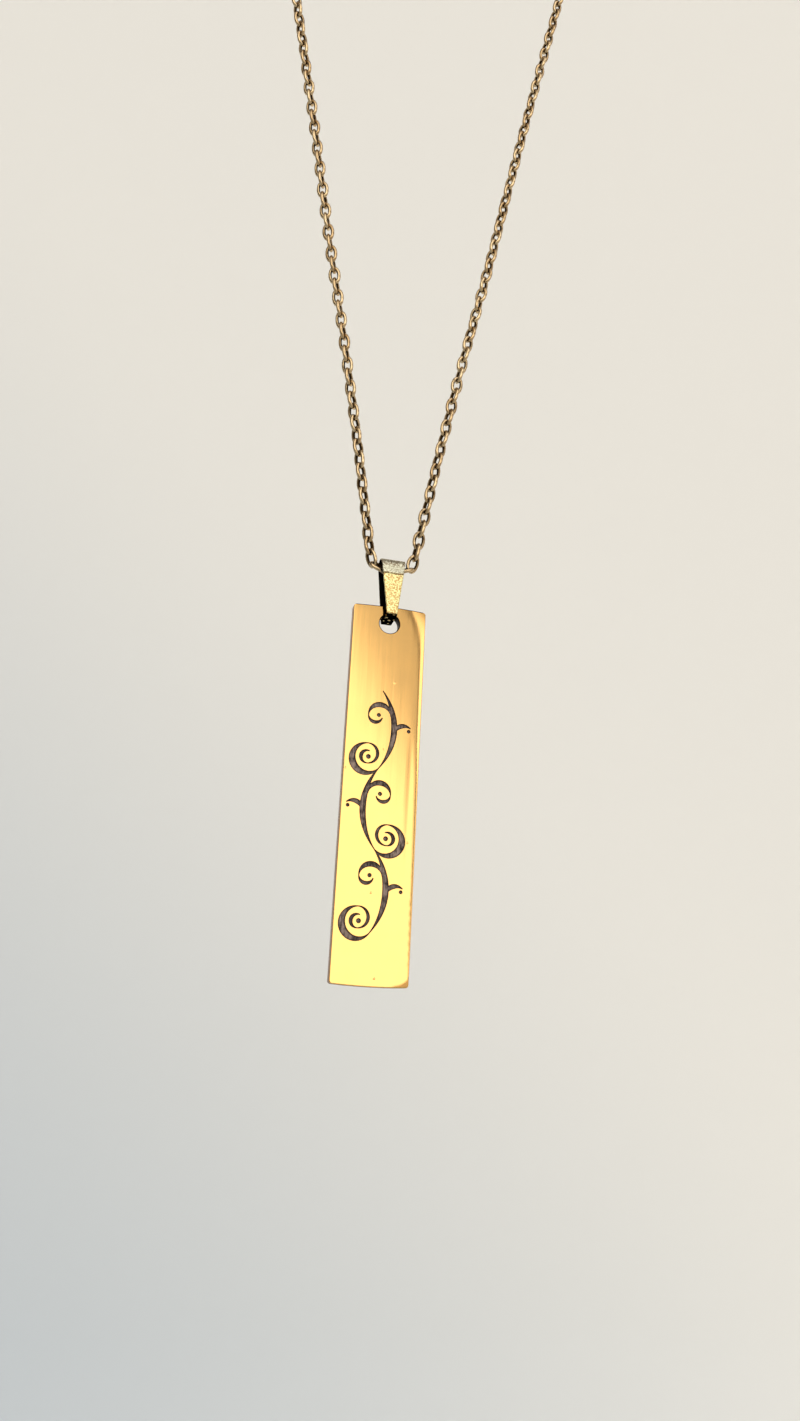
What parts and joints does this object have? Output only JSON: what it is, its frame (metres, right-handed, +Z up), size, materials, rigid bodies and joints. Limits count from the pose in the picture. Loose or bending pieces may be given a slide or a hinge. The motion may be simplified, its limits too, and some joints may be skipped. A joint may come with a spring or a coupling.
{
  "type": "nameplate necklace",
  "caption": "Flat bar pendant with an engraved vine, hung by a folded strap bail from a fine cable chain that closes with a clasp and ring.",
  "frame": {"origin": "the middle of the closure at the top of the hanging loop, on the chain's centre line", "axes": "+X to the right as the engraved face is seen, +Y away from the viewer, +Z up, along the way it hangs"},
  "size_m": [0.0692, 0.0048, 0.2465],
  "materials": {
    "polished_gold": "gold-plated brass, mirror polished, with fine scratches and a darkened engraving",
    "hammered_gold": "gold-plated brass, finely mottled",
    "chain_gold": "antique gold-plated brass wire",
    "closure_gold": "gold-plated brass, polished"
  },
  "bodies": {
    "loop": {"chain": "chain_gold", "clasp": "closure_gold", "end_ring": "closure_gold"},
    "bail": {"bail": "hammered_gold"},
    "plate": {"nameplate": "polished_gold"}
  },
  "joints": [
    {"name": "bail_swing", "type": "hinge", "parent": "loop", "child": "bail", "pos_m": [0, 0, -0.2], "axis": [1, 0, 0], "range_deg": [-120, 120]},
    {"name": "plate_swing", "type": "hinge", "parent": "bail", "child": "plate", "pos_m": [0, 0, -0.20647], "axis": [0, 1, 0], "range_deg": [-90, 90]}
  ]
}
